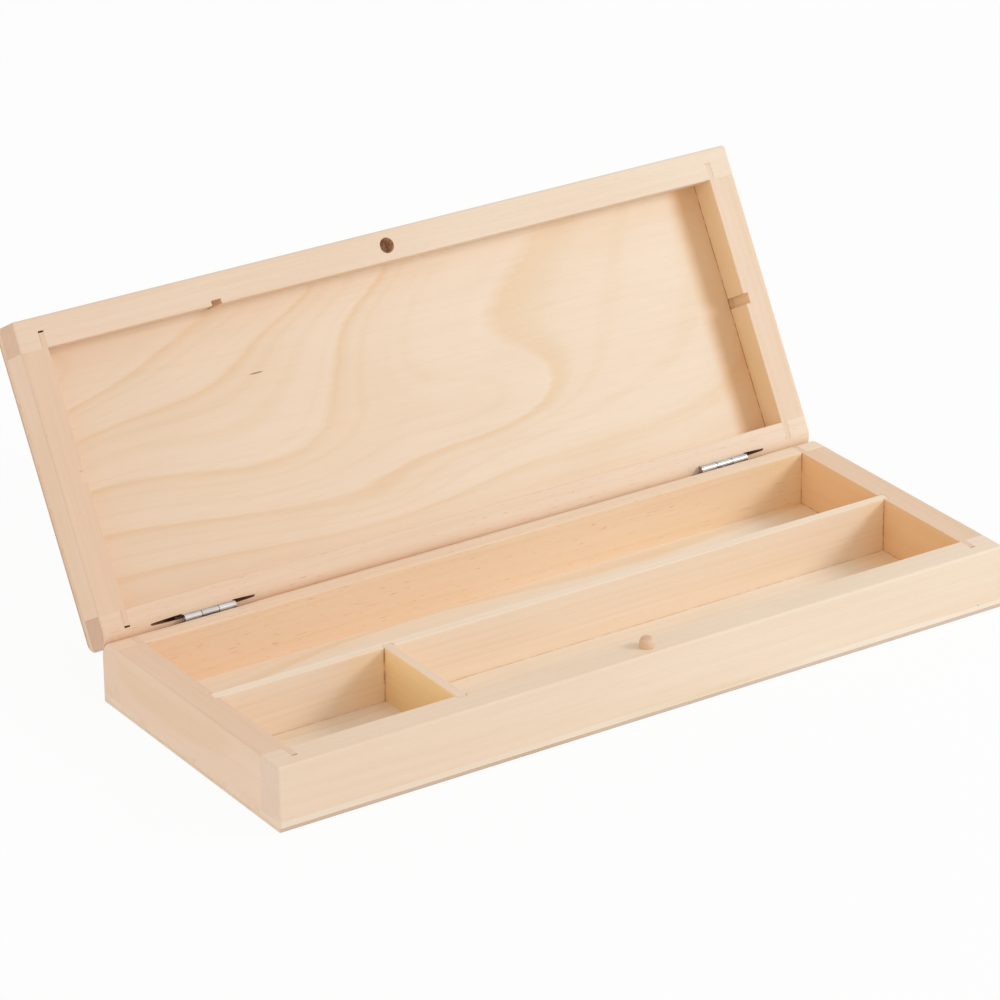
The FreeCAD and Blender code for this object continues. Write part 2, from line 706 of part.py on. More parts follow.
def build():
    fill_sheets()
    bodies = [
        tray_front_rail(),
        tray_back_rail(),
        tray_left_end(),
        tray_right_end(),
        tray_bottom_panel(),
        long_divider(),
        short_divider(),
        closing_peg(),
        lid_front_rail(),
        lid_back_rail(),
        lid_left_end(),
        lid_right_end(),
        lid_top_panel(),
    ]
    for side in ("left", "right"):
        bodies.append(hinge_tray_leaf(side))
        bodies.append(hinge_lid_leaf(side))
        bodies.append(hinge_pin(side))
    doc.recompute()
    return bodies


def check(bodies):
    for thing in doc.Objects:
        if "Invalid" in thing.State or "Error" in thing.State:
            raise RuntimeError("not computed: " + thing.Label)
    for body in bodies:
        if body.Shape.isNull() or not body.Shape.isValid() or len(body.Shape.Solids) != 1:
            raise RuntimeError("not one sound solid: " + body.Label)


def export(bodies):
    os.makedirs("parts", exist_ok=True)
    for body in bodies:
        body.Shape.exportStep("parts/" + body.Label + ".step")


pieces = build()
check(pieces)
export(pieces)
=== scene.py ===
import json
import math

import bmesh
import bpy
from mathutils import Matrix, Vector


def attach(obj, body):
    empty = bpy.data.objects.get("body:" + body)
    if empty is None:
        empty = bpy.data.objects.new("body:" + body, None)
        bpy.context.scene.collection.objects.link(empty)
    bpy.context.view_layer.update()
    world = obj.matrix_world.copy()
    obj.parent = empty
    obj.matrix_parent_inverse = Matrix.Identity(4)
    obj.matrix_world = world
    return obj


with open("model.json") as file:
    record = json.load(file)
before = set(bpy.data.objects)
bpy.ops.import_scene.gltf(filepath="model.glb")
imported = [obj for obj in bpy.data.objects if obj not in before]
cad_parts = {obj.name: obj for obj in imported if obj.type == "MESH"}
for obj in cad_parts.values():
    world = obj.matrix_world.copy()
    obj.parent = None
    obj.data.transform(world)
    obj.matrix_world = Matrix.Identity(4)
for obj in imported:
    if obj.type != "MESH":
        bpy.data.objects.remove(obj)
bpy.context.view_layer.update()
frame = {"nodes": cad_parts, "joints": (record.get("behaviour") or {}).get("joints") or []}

# A hinged pencil box of pale, sanded, unfinished wood: four rails lock-jointed at the corners,
# plywood top and bottom, two thin dividers, a turned peg and two small steel hinges.

box_parts = frame["nodes"]

# Every wood pattern is drawn in millimetres on the shut box, so the grain runs on from the tray
# into the lid, as it does where both are sawn from one glued-up box. The lid's parts are modelled
# lying open, and turning them by the joint's whole range shuts them.
MM = 1000.0
lid_hinge = frame["joints"][0]
hinge_line = Vector(lid_hinge["pos_m"]) * MM
lid_swing = math.radians(lid_hinge["range_deg"][1])


def spread(part_name, axis):
    """How far a part reaches along an axis of the shut box, lowest and highest, in millimetres."""
    points = [corner.co * MM for corner in box_parts[part_name].data.vertices]
    if part_name.startswith("lid_"):
        turn = Matrix.Rotation(lid_swing, 3, "X")
        points = [turn @ (point - hinge_line) + hinge_line for point in points]
    steps = [point["XYZ".index(axis)] for point in points]
    return min(steps), max(steps)


# Inner faces of the box, each as its axis and its place along it, and places on the other axes.
floor_face = ("Z", spread("tray_bottom_panel", "Z")[1])
ceiling_face = ("Z", spread("lid_top_panel", "Z")[0])
back_wall_face = ("Y", spread("tray_back_rail", "Y")[0])
divider_face = ("Y", spread("long_divider", "Y")[0])
right_wall = spread("tray_right_end", "X")[0]
short_divider_left = spread("short_divider", "X")[0]
lid_rim = spread("lid_front_rail", "Z")[0]

# The middle plane of the hinge kerfs, how far the hinges lie from the box's middle, and the
# thickness of the plywood.
KERF_PLANE = 41.67
HINGE_DISTANCE = 83.7
PLY_THICKNESS = 3.0
# Beyond both ends of the box, for a tone that fills a face.
PAST_LEFT, PAST_RIGHT = -200.0, 200.0


# Drawing up a finish

def new_finish(name):
    """An empty material, and its nodes to draw on."""
    material = bpy.data.materials.new(name)
    material.use_nodes = True
    material.node_tree.nodes.clear()
    return material, material.node_tree


def put(tree, kind, settings=None, **inputs):
    """Adds a node. An input is a plain value or the output of another node, and it is given by
    its name, or as i and its number."""
    node = tree.nodes.new(kind)
    for key, value in (settings or {}).items():
        setattr(node, key, value)
    for key, value in inputs.items():
        socket = node.inputs[int(key[1:]) if key[1:].isdigit() else key.replace("_", " ")]
        if isinstance(value, bpy.types.NodeSocket):
            tree.links.new(value, socket)
        else:
            socket.default_value = value
    return node


def sum_of(tree, a, b):
    return put(tree, "ShaderNodeMath", {"operation": "ADD"}, i0=a, i1=b).outputs[0]


def times(tree, a, b):
    return put(tree, "ShaderNodeMath", {"operation": "MULTIPLY"}, i0=a, i1=b).outputs[0]


def larger_of(tree, a, b):
    return put(tree, "ShaderNodeMath", {"operation": "MAXIMUM"}, i0=a, i1=b).outputs[0]


def dot_product(tree, a, b):
    return put(tree, "ShaderNodeVectorMath", {"operation": "DOT_PRODUCT"}, i0=a, i1=b).outputs["Value"]


def away_from(tree, value, middle):
    """How far a value is from a middle one, on either side."""
    shifted = sum_of(tree, value, -middle)
    return put(tree, "ShaderNodeMath", {"operation": "ABSOLUTE"}, i0=shifted).outputs[0]


def band(tree, value, low, high, start=0.0, end=1.0):
    """Runs smoothly from start to end while value goes from low to high."""
    node = put(tree, "ShaderNodeMapRange", {"interpolation_type": "SMOOTHSTEP"}, Value=value)
    for key, number in (("From Min", low), ("From Max", high), ("To Min", start), ("To Max", end)):
        node.inputs[key].default_value = number
    return node.outputs["Result"]


def tinted(tree, colour, share, tint):
    """Multiplies a colour by a tint, as strongly as the share says."""
    return put(tree, "ShaderNodeMix", {"data_type": "RGBA", "blend_type": "MULTIPLY"},
               i0=share, i6=colour, i7=tint).outputs[2]


def cloudy(tree, where, scale, detail=2.0, roughness=0.5):
    """A soft noise from 0 to 1, with its middle near a half."""
    node = put(tree, "ShaderNodeTexNoise", {"noise_dimensions": "3D"},
               Vector=where, Scale=scale, Detail=detail, Roughness=roughness)
    return node.outputs["Fac"]


def stretched(tree, where, scale, shift=(0.0, 0.0, 0.0)):
    node = put(tree, "ShaderNodeMapping", {"vector_type": "POINT"}, Vector=where)
    node.inputs["Scale"].default_value = scale
    node.inputs["Location"].default_value = shift
    return node.outputs["Vector"]


def shut_box_place(tree, on_lid):
    """A point's place on the shut box, in millimetres."""
    place = put(tree, "ShaderNodeTexCoord").outputs["Object"]
    node = put(tree, "ShaderNodeMapping", {"vector_type": "POINT"}, Vector=place)
    node.inputs["Scale"].default_value = (MM, MM, MM)
    if on_lid:
        turn = Matrix.Rotation(lid_swing, 3, "X")
        node.inputs["Rotation"].default_value = (lid_swing, 0.0, 0.0)
        node.inputs["Location"].default_value = hinge_line - turn @ hinge_line
    return node.outputs["Vector"]


def shut_box_facing(tree, on_lid):
    """Which way a face looks on the shut box."""
    facing = put(tree, "ShaderNodeTexCoord").outputs["Normal"]
    if not on_lid:
        return facing
    node = put(tree, "ShaderNodeMapping", {"vector_type": "NORMAL"}, Vector=facing)
    node.inputs["Rotation"].default_value = (lid_swing, 0.0, 0.0)
    return node.outputs["Vector"]


def share_facing(tree, facing, way):
    """How squarely a face looks along a direction, from either side."""
    dot = dot_product(tree, facing, way)
    return put(tree, "ShaderNodeMath", {"operation": "ABSOLUTE"}, i0=dot).outputs[0]


def along_box(tree, place, axis):
    """A point's place along one of the box's axes."""
    return put(tree, "ShaderNodeSeparateXYZ", Vector=place).outputs[axis]


def finish_off(material, tree, colour, roughness, relief, depth):
    """Ends a wood finish: its colour, its dull sanded surface and its fine relief."""
    bump = put(tree, "ShaderNodeBump", Height=relief, Strength=1.0, Distance=depth)
    surface = put(tree, "ShaderNodeBsdfPrincipled", Base_Color=colour, Roughness=roughness,
                  Normal=bump.outputs["Normal"])
    put(tree, "ShaderNodeOutputMaterial", Surface=surface.outputs[0])
    return material


# The woods

def left_tone_and_painted_falloff(tree, place, share=1.0):
    """The boards turn slowly darker and warmer towards the box's left end: partly their tone, partly
    painted shade where the main lamp's light falls off.
    """
    return band(tree, along_box(tree, place, "X"), 110.0, -130.0, 0.0, share)


def on_plane(tree, place, axis, at):
    """One where a face lies in a plane of the box's inside, and none further off."""
    return band(tree, away_from(tree, along_box(tree, place, axis), at), 0.35, 0.25)


def painted_inner_shade(tree, colour, place, face, start, full, tint, stop=PAST_RIGHT):
    """Painted shade: an inner face takes on the darker, warmer colour of shade from start to full, along
    the box, and stops sharply at stop.
    """
    to_right = along_box(tree, place, "X")
    share = times(tree, on_plane(tree, place, *face), band(tree, to_right, start, full))
    share = times(tree, share, band(tree, to_right, stop, stop - 0.5))
    return tinted(tree, colour, share, tint)


def joint_shadow(tree, colour, place, face, axis, at, tint=(0.6, 0.46, 0.34, 1.0)):
    """A dark, slightly broken hairline on an inner face, where another board meets it."""
    near = band(tree, away_from(tree, along_box(tree, place, axis), at), 0.4, 0.2)
    broken = band(tree, cloudy(tree, place, 0.35, 2.0), 0.35, 0.55, 0.3, 1.0)
    share = times(tree, times(tree, near, broken), on_plane(tree, place, *face))
    return tinted(tree, colour, share, tint)


def solid_wood(name, tone, heart, ring_width, start=0.0, along="X", on_lid=False,
               flecks=0.25, fleck_size=1.0, warming=1.0, left_face_painted_light=None, cut_tint=(0.925, 0.87, 0.89, 1.0),
               kerfs=False, bored=None, inner_shade=(), seams=()):
    """Sanded pale wood cut from a log. heart is where the middle of the log lies across the grain,
    and start is how far along the log the board begins. flecks is how much its pores show, and
    warming how strongly it turns darker and warmer to the left, partly its tone and partly painted
    shade. left_face_painted_light is painted light and shade on the planed faces that look left,
    and cut_tint a tint of the sawn ends. kerfs paints shade into the walls of the hinge kerfs.
    bored is what bore_painted_shade takes, and inner_shade and seams list what painted_inner_shade
    and joint_shadow take."""
    material, tree = new_finish(name)
    place = shut_box_place(tree, on_lid)
    facing = shut_box_facing(tree, on_lid)

    # the board's own axes: x along the grain, y and z across it, measured from the heart
    board = put(tree, "ShaderNodeMapping", {"vector_type": "POINT"}, Vector=place)
    quarter = {"X": (0.0, 0.0, 0.0), "Y": (0.0, 0.0, -math.pi / 2), "Z": (0.0, math.pi / 2, 0.0)}
    board.inputs["Rotation"].default_value = quarter[along]
    board.inputs["Location"].default_value = (start, -heart[0], -heart[1])
    board = board.outputs["Vector"]
    grain_way = {"X": (1.0, 0.0, 0.0), "Y": (0.0, 1.0, 0.0), "Z": (0.0, 0.0, 1.0)}[along]

    # growth rings round the heart, wavering along the log
    across = put(tree, "ShaderNodeVectorMath", {"operation": "MULTIPLY"}, i0=board, i1=(0.0, 1.0, 1.0))
    radius = put(tree, "ShaderNodeVectorMath", {"operation": "LENGTH"}, i0=across.outputs[0])
    waver = cloudy(tree, stretched(tree, board, (0.006, 0.03, 0.03)), 1.0, 1.0)
    radius = sum_of(tree, radius.outputs["Value"], times(tree, waver, 7.0))
    years = put(tree, "ShaderNodeMath", {"operation": "FRACT"},
                i0=times(tree, radius, 1.0 / ring_width)).outputs[0]
    late_wood = times(tree, band(tree, years, 0.2, 0.9), band(tree, years, 0.9, 1.0, 1.0, 0.0))
    good_years = put(tree, "ShaderNodeTexNoise", {"noise_dimensions": "1D"},
                     W=times(tree, radius, 0.35), Scale=1.0, Detail=1.0).outputs["Fac"]
    late_wood = times(tree, late_wood, band(tree, good_years, 0.35, 0.68))

    # fibres, short pores and slow changes of tone
    fibres = cloudy(tree, stretched(tree, board, (0.03, 2.1, 2.1)), 1.0, 4.0, 0.6)
    pores = cloudy(tree, stretched(tree, board, (0.5, 4.5, 4.5)), 1.0 / fleck_size, 2.0)
    pores = band(tree, pores, 0.62, 0.78)
    clouds = cloudy(tree, stretched(tree, board, (0.012, 0.09, 0.09)), 1.0, 2.0)

    # darker and warmer towards the left: partly the wood's tone, partly painted shade where the main
    # lamp's light falls off
    colour = tinted(tree, tone, left_tone_and_painted_falloff(tree, place, warming), (0.975, 0.905, 0.86, 1.0))
    colour = tinted(tree, colour, band(tree, clouds, 0.3, 0.7), (0.975, 0.955, 0.925, 1.0))
    colour = tinted(tree, colour, times(tree, late_wood, 0.8), (0.975, 0.945, 0.90, 1.0))
    colour = tinted(tree, colour, band(tree, fibres, 0.42, 0.72), (0.982, 0.968, 0.948, 1.0))
    colour = tinted(tree, colour, times(tree, pores, flecks), (0.84, 0.74, 0.62, 1.0))

    # sawn ends: greyer and pinker, with the cut fibres as fine specks
    end_grain = band(tree, share_facing(tree, facing, grain_way), 0.55, 0.9)
    specks = cloudy(tree, board, 2.6, 3.0, 0.65)
    end_tint = tinted(tree, cut_tint, band(tree, specks, 0.4, 0.75), (0.94, 0.91, 0.90, 1.0))
    colour = tinted(tree, colour, end_grain, end_tint)

    # painted light and shade: faces that look left are tinted as dark, warm or bright as they look under
    # this light
    if left_face_painted_light:
        left = band(tree, dot_product(tree, facing, (-1.0, 0.0, 0.0)), 0.6, 0.9)
        colour = tinted(tree, colour, left, left_face_painted_light)
    # painted shade on inner faces
    for shade_patch in inner_shade:
        colour = painted_inner_shade(tree, colour, place, *shade_patch)
    for seam in seams:
        colour = joint_shadow(tree, colour, place, *seam)
    # painted shade in the hinge kerfs and inside the drilled hole
    if kerfs:
        colour = kerf_painted_shade(tree, colour, place, facing)
    if bored:
        colour = bore_painted_shade(tree, colour, place, *bored)

    relief = sum_of(tree, fibres, times(tree, pores, -0.6))
    roughness = band(tree, fibres, 0.2, 0.8, 0.56, 0.7)
    return finish_off(material, tree, colour, roughness, relief, 0.00004)


def kerf_painted_shade(tree, colour, place, facing):
    """Painted shade: the walls of the narrow hinge kerfs are painted the dark brown of deep shade in these
    slots.
    """
    apart = put(tree, "ShaderNodeSeparateXYZ", Vector=place)
    across = away_from(tree, apart.outputs["Y"], KERF_PLANE)
    deep = away_from(tree, apart.outputs["Z"], hinge_line.z)
    walls = times(tree, band(tree, across, 0.75, 0.68), band(tree, deep, 0.1, 0.3))
    sides = band(tree, share_facing(tree, facing, (0.0, 1.0, 0.0)), 0.75, 0.85)
    floors = band(tree, share_facing(tree, facing, (1.0, 0.0, 0.0)), 0.08, 0.2)
    walls = times(tree, walls, larger_of(tree, sides, floors))

    # only past both sides of the barrels, and not as far out as the corner joints
    from_middle = away_from(tree, apart.outputs["X"], 0.0)
    walls = times(tree, walls, band(tree, from_middle, 104.0, 103.0))
    walls = times(tree, walls, band(tree, away_from(tree, from_middle, HINGE_DISTANCE), 7.0, 8.0))
    return tinted(tree, colour, walls, (0.30, 0.13, 0.08, 1.0))


def bore_painted_shade(tree, colour, place, x, y, radius, mouth):
    """Painted shade inside a drilled hole: its wall is patchily darker. mouth is the height of its rim."""
    deep = away_from(tree, along_box(tree, place, "Z"), mouth)
    near = stretched(tree, place, (1.0, 1.0, 0.0), (-x, -y, 0.0))
    reach = put(tree, "ShaderNodeVectorMath", {"operation": "LENGTH"}, i0=near).outputs["Value"]
    inside = times(tree, band(tree, reach, radius + 0.3, radius + 0.1), band(tree, deep, 0.05, 0.5))
    patchy = band(tree, cloudy(tree, place, 0.9, 3.0, 0.6), 0.4, 0.6, 0.1, 1.0)
    return tinted(tree, colour, times(tree, inside, patchy), (0.68, 0.5, 0.38, 1.0))


def veneer_figure(tree, place, slope, swells):
    """The figure of a peeled veneer. Its growth lines are the level lines of a gently swelling
    surface. slope is the surface's height at the middle of the box, and how it rises along and
    across. Each swell is its height, its middle, and how far it reaches along and across."""
    apart = put(tree, "ShaderNodeSeparateXYZ", Vector=place)
    at_middle, along, across = slope
    level = sum_of(tree, times(tree, apart.outputs["X"], along), times(tree, apart.outputs["Y"], across))
    level = sum_of(tree, level, at_middle)
    for height, x, y, long, wide in swells:
        near = stretched(tree, place, (1 / long, 1 / wide, 0.0), (-x / long, -y / wide, 0.0))
        square = dot_product(tree, near, near)
        swell = put(tree, "ShaderNodeMath", {"operation": "EXPONENT"}, i0=times(tree, square, -1.0))
        level = sum_of(tree, level, times(tree, swell.outputs[0], height))
    return level


def plywood(name, tone, on_lid, middle, slope, swells, inner_shade, seams, split=None,
            warming=1.0, dark_ends=0.7):
    """Three-ply of pale wood. middle is the height of the board's middle, and slope and swells give
    the figure of its veneer. dark_ends is how dark the core looks in the short edges. The other
    values are as in solid_wood, and split is what fine_split takes."""
    material, tree = new_finish(name)
    place = shut_box_place(tree, on_lid)
    facing = shut_box_facing(tree, on_lid)
    height = sum_of(tree, along_box(tree, place, "Z"), -middle)
    inwards = times(tree, height, -1.0 if on_lid else 1.0)

    # the outer sheet is another one than the inner, so its figure lies further along
    outer = band(tree, inwards, 0.2, -0.2)
    shift = put(tree, "ShaderNodeCombineXYZ", X=times(tree, outer, 38.0), Y=times(tree, outer, -21.0))
    sheet = put(tree, "ShaderNodeVectorMath", {"operation": "ADD"}, i0=place, i1=shift.outputs[0])
    level = veneer_figure(tree, sheet.outputs[0], slope, swells)
    ragged = cloudy(tree, stretched(tree, place, (0.09, 0.7, 0.3)), 1.0, 2.0)
    level = sum_of(tree, level, times(tree, ragged, 0.07))
    year = put(tree, "ShaderNodeMath", {"operation": "FRACT"}, i0=level).outputs[0]
    line = sum_of(tree, band(tree, year, 0.0, 0.15, 1.0, 0.0), band(tree, year, 0.94, 1.0))
    depth = cloudy(tree, stretched(tree, place, (0.02, 0.03, 0.3), (7.0, 3.0, 0.0)), 1.0, 1.0)
    line = times(tree, line, band(tree, depth, 0.3, 0.6, 0.4, 0.85))
    between = put(tree, "ShaderNodeTexNoise", {"noise_dimensions": "1D"},
                  W=times(tree, level, 6.0), Scale=1.0, Detail=1.0).outputs["Fac"]

    fibres = cloudy(tree, stretched(tree, place, (0.035, 1.5, 1.5)), 1.0, 4.0, 0.6)
    pores = band(tree, cloudy(tree, stretched(tree, place, (0.5, 4.5, 4.5)), 1.0, 2.0), 0.64, 0.78)
    clouds = cloudy(tree, stretched(tree, place, (0.02, 0.04, 0.3)), 1.0, 2.0)
    # darker and warmer towards the left: partly the veneer's tone, partly painted shade where the main
    # lamp's light falls off
    colour = tinted(tree, tone, left_tone_and_painted_falloff(tree, place, warming), (0.97, 0.90, 0.85, 1.0))
    colour = tinted(tree, colour, band(tree, year, 0.0, 0.85, 1.0, 0.0), (0.984, 0.962, 0.93, 1.0))
    colour = tinted(tree, colour, band(tree, between, 0.48, 0.68), (0.987, 0.973, 0.945, 1.0))
    colour = tinted(tree, colour, band(tree, clouds, 0.35, 0.7), (0.985, 0.968, 0.945, 1.0))
    colour = tinted(tree, colour, line, (0.965, 0.90, 0.785, 1.0))
    colour = tinted(tree, colour, band(tree, fibres, 0.42, 0.74), (0.985, 0.972, 0.955, 1.0))
    colour = tinted(tree, colour, times(tree, pores, 0.28), (0.86, 0.77, 0.66, 1.0))
    if split:
        colour = fine_split(tree, colour, place, *split)
    # painted shade on inner faces
    for shade_patch in inner_shade:
        colour = painted_inner_shade(tree, colour, place, *shade_patch)
    for seam in seams:
        colour = joint_shadow(tree, colour, place, *seam)

    # the sawn edge: thin outer sheet, dark cross-laid core with glue lines, thick pale inner sheet
    rim = band(tree, share_facing(tree, facing, (0.0, 0.0, 1.0)), 0.75, 0.55)
    depth_in = sum_of(tree, inwards, PLY_THICKNESS / 2)
    core = times(tree, band(tree, depth_in, 0.25, 0.35), band(tree, depth_in, 1.2, 1.35, 1.0, 0.0))
    glue = sum_of(tree, band(tree, away_from(tree, depth_in, 0.3), 0.1, 0.02),
                  band(tree, away_from(tree, depth_in, 1.3), 0.1, 0.02))
    to_ends = band(tree, share_facing(tree, facing, (1.0, 0.0, 0.0)), 0.3, 0.7)
    specks = cloudy(tree, stretched(tree, place, (2.2, 2.2, 5.0)), 1.0, 3.0, 0.6)
    core = times(tree, core, sum_of(tree, times(tree, to_ends, dark_ends - 0.8), 0.8))
    edge = tinted(tree, colour, core, (0.68, 0.60, 0.57, 1.0))
    edge = tinted(tree, edge, to_ends, (0.95, 0.88, 0.83, 1.0))
    edge = tinted(tree, edge, times(tree, glue, 0.6), (0.74, 0.6, 0.52, 1.0))
    edge = tinted(tree, edge, times(tree, band(tree, specks, 0.45, 0.75), 0.7), (0.92, 0.88, 0.85, 1.0))
    colour = put(tree, "ShaderNodeMix", {"data_type": "RGBA"}, i0=rim, i6=colour, i7=edge).outputs[2]

    relief = sum_of(tree, fibres, times(tree, pores, -0.6))
    roughness = band(tree, fibres, 0.2, 0.8, 0.5, 0.64)
    return finish_off(material, tree, colour, roughness, relief, 0.00003)


def fine_split(tree, colour, place, x, y, length):
    """A short, thin dark split along the grain of a veneer."""
    near = stretched(tree, place, (2.0 / length, 3.6, 0.0), (-x * 2.0 / length, -y * 3.6, 0.0))
    ragged = cloudy(tree, stretched(tree, place, (1.2, 2.5, 1.0)), 1.0, 2.0)
    reach = put(tree, "ShaderNodeVectorMath", {"operation": "LENGTH"}, i0=near).outputs["Value"]
    reach = sum_of(tree, reach, times(tree, ragged, 0.6))
    return tinted(tree, colour, band(tree, reach, 0.75, 1.25, 1.0, 0.0), (0.45, 0.33, 0.24, 1.0))


def bright_steel(name):
    """Rolled sheet steel with a bright finish, drawn marks along the strip."""
    material, tree = new_finish(name)
    place = put(tree, "ShaderNodeTexCoord").outputs["Object"]
    marks = cloudy(tree, stretched(tree, place, (900.0, 5200.0, 5200.0)), 1.0, 3.0)
    smudges = cloudy(tree, stretched(tree, place, (260.0, 260.0, 260.0)), 1.0, 2.0)
    colour = tinted(tree, (0.68, 0.665, 0.655, 1.0), band(tree, smudges, 0.35, 0.75), (0.8, 0.8, 0.81, 1.0))
    roughness = sum_of(tree, times(tree, marks, 0.16), 0.16)
    bump = put(tree, "ShaderNodeBump", Height=marks, Strength=0.5, Distance=0.00002)
    surface = put(tree, "ShaderNodeBsdfPrincipled", Base_Color=colour, Metallic=1.0,
                  Roughness=roughness, Normal=bump.outputs["Normal"])
    put(tree, "ShaderNodeOutputMaterial", Surface=surface.outputs[0])
    return material


# Finishes on the box's parts

def dress(finish, *part_names):
    for part_name in part_names:
        slots = box_parts[part_name].material_slots
        if not slots:
            box_parts[part_name].data.materials.append(finish)
        for slot in slots:
            slot.material = finish


# each pair of rails, tray and lid, is one board sawn lengthwise, so both halves share a log
boards = {
    "front_rail": {"along": "X", "heart": (-90.0, 40.0), "ring_width": 2.6, "start": 0.0},
    "back_rail": {"along": "X", "heart": (95.0, -38.0), "ring_width": 2.0, "start": 400.0,
                  "flecks": 1.0, "fleck_size": 1.9, "kerfs": True},
    "left_end": {"along": "Y", "heart": (-150.0, 45.0), "ring_width": 2.6, "start": 700.0},
    # the right ends get painted shade on their faces that look left, inside the box
    "right_end": {"along": "Y", "heart": (60.0, 70.0), "ring_width": 2.2, "start": 1100.0,
                  "left_face_painted_light": (1.0, 0.86, 0.62, 1.0)},
}
tones = {
    "tray_front_rail": (0.945, 0.79, 0.625, 1.0), "lid_front_rail": (0.89, 0.735, 0.58, 1.0),
    "tray_back_rail": (0.965, 0.78, 0.61, 1.0), "lid_back_rail": (0.895, 0.725, 0.57, 1.0),
    "tray_left_end": (0.92, 0.73, 0.575, 1.0), "lid_left_end": (0.87, 0.68, 0.52, 1.0),
    "tray_right_end": (0.89, 0.665, 0.49, 1.0), "lid_right_end": (0.865, 0.68, 0.515, 1.0),
}
# what sets one half of a board apart from the other; among it are painted shade on inner faces and painted
# light and shade on faces that look left
own_looks = {
    "tray_front_rail": {"cut_tint": (0.925, 0.905, 0.945, 1.0), "warming": 0.75},
    "tray_back_rail": {
        "cut_tint": (0.95, 0.965, 0.99, 1.0),
        "seams": ((back_wall_face, "X", right_wall),),
        # painted shade: the back wall's inner face warms slightly along its whole length, and more towards
        # the right end
        "inner_shade": ((back_wall_face, PAST_LEFT, PAST_LEFT + 1.0, (0.995, 0.985, 0.935, 1.0)),
                   (back_wall_face, 15.0, 75.0, (0.98, 0.95, 0.895, 1.0)),
                   (back_wall_face, 88.0, 104.0, (1.0, 0.98, 0.90, 1.0)))},
    "lid_front_rail": {"cut_tint": (0.88, 0.79, 0.74, 1.0), "bored": (0.0, -40.15, 2.2, lid_rim)},
    "lid_back_rail": {"cut_tint": (0.815, 0.73, 0.695, 1.0)},
    # painted light on the outer faces of the left ends, and painted shade on the inside of the lid's right
    # end
    "tray_left_end": {"left_face_painted_light": (1.0, 1.03, 1.04, 1.0)},
    "lid_left_end": {"left_face_painted_light": (1.045, 1.07, 1.10, 1.0)},
    "lid_right_end": {"left_face_painted_light": (1.0, 0.93, 0.74, 1.0)},
}
for part_name, tone in tones.items():
    half, board_name = part_name.split("_", 1)
    dress(solid_wood(f"{part_name}_wood", on_lid=half == "lid", tone=tone,
                     **{**boards[board_name], **own_looks.get(part_name, {})}), part_name)

# painted shade: the divider's front face darkens and warms towards the right end and beside the short
# divider
long_divider_wood = solid_wood(
    "long_divider_wood", tone=(0.98, 0.83, 0.67, 1.0), heart=(30.0, 55.0), ring_width=1.8,
    start=1500.0, warming=0.0,
    seams=((divider_face, "X", right_wall), (divider_face, "X", short_divider_left - 0.2)),
    inner_shade=((divider_face, 94.0, 105.0, (1.0, 0.935, 0.83, 1.0)),
            (divider_face, 0.0, 60.0, (0.988, 0.972, 0.95, 1.0)),
            (divider_face, -76.0, -62.0, (1.0, 0.93, 0.82, 1.0), -55.0)))
dress(long_divider_wood, "long_divider")

# painted shade on the short divider's faces that look left
short_divider_wood = solid_wood(
    "short_divider_wood", tone=(0.95, 0.79, 0.62, 1.0), heart=(95.0, 50.0), ring_width=2.1,
    start=1900.0, along="Y", left_face_painted_light=(1.05, 0.985, 0.69, 1.0))
dress(short_divider_wood, "short_divider")

# painted shade on the side of the peg that looks left
peg_wood = solid_wood("peg_wood", tone=(0.83, 0.61, 0.43, 1.0), heart=(6.0, -44.0), ring_width=1.2,
                      along="Z", left_face_painted_light=(0.93, 0.86, 0.70, 1.0))
dress(peg_wood, "closing_peg")

top_plywood = plywood(
    "top_plywood", tone=(0.905, 0.76, 0.60, 1.0), on_lid=True, middle=28.6,
    slope=(5.625, 0.01368, 0.0434),
    swells=((-0.70, 22.7, 8.0, 25.8, 11.9), (-1.10, -38.9, -37.1, 41.6, 9.4),
            (3.42, -112.3, -13.5, 53.2, 17.5), (-6.0, -130.9, -17.8, 86.2, 23.0),
            (-2.89, 94.9, 27.5, 102.8, 60.0), (-0.48, -16.6, 27.3, 28.2, 6.0),
            (-1.61, -38.4, 13.1, 56.1, 21.6)),
    split=(-45.3, -16.0, 5.4),
    seams=((ceiling_face, "X", right_wall),),
    # painted shadow: a warm dark strip on the inside of the top, beside the right end
    inner_shade=((ceiling_face, 95.0, 101.0, (0.95, 0.76, 0.56, 1.0)),))
dress(top_plywood, "lid_top_panel")

bottom_plywood = plywood(
    "bottom_plywood", tone=(0.955, 0.85, 0.715, 1.0), on_lid=False, middle=1.5,
    slope=(2.4, -0.003, 0.052),
    swells=((0.9, 76.0, 4.0, 88.0, 20.0), (-0.6, 20.0, -24.0, 60.0, 12.0),
            (0.7, -70.0, -2.0, 55.0, 18.0), (-0.5, -30.0, 28.0, 42.0, 11.0)),
    warming=0.4, dark_ends=0.15,
    seams=((floor_face, "X", right_wall),
           (floor_face, "Y", divider_face[1] - 0.15, (0.8, 0.7, 0.6, 1.0))),
    # painted shade on the floor towards the right end
    inner_shade=((floor_face, 86.0, 103.0, (0.99, 0.87, 0.70, 1.0)),))
dress(bottom_plywood, "tray_bottom_panel")

hinge_steel = bright_steel("hinge_steel")
for side in ("left", "right"):
    dress(hinge_steel, f"{side}_hinge_tray_leaf", f"{side}_hinge_lid_leaf", f"{side}_hinge_pin")


# Wood filler in the lid

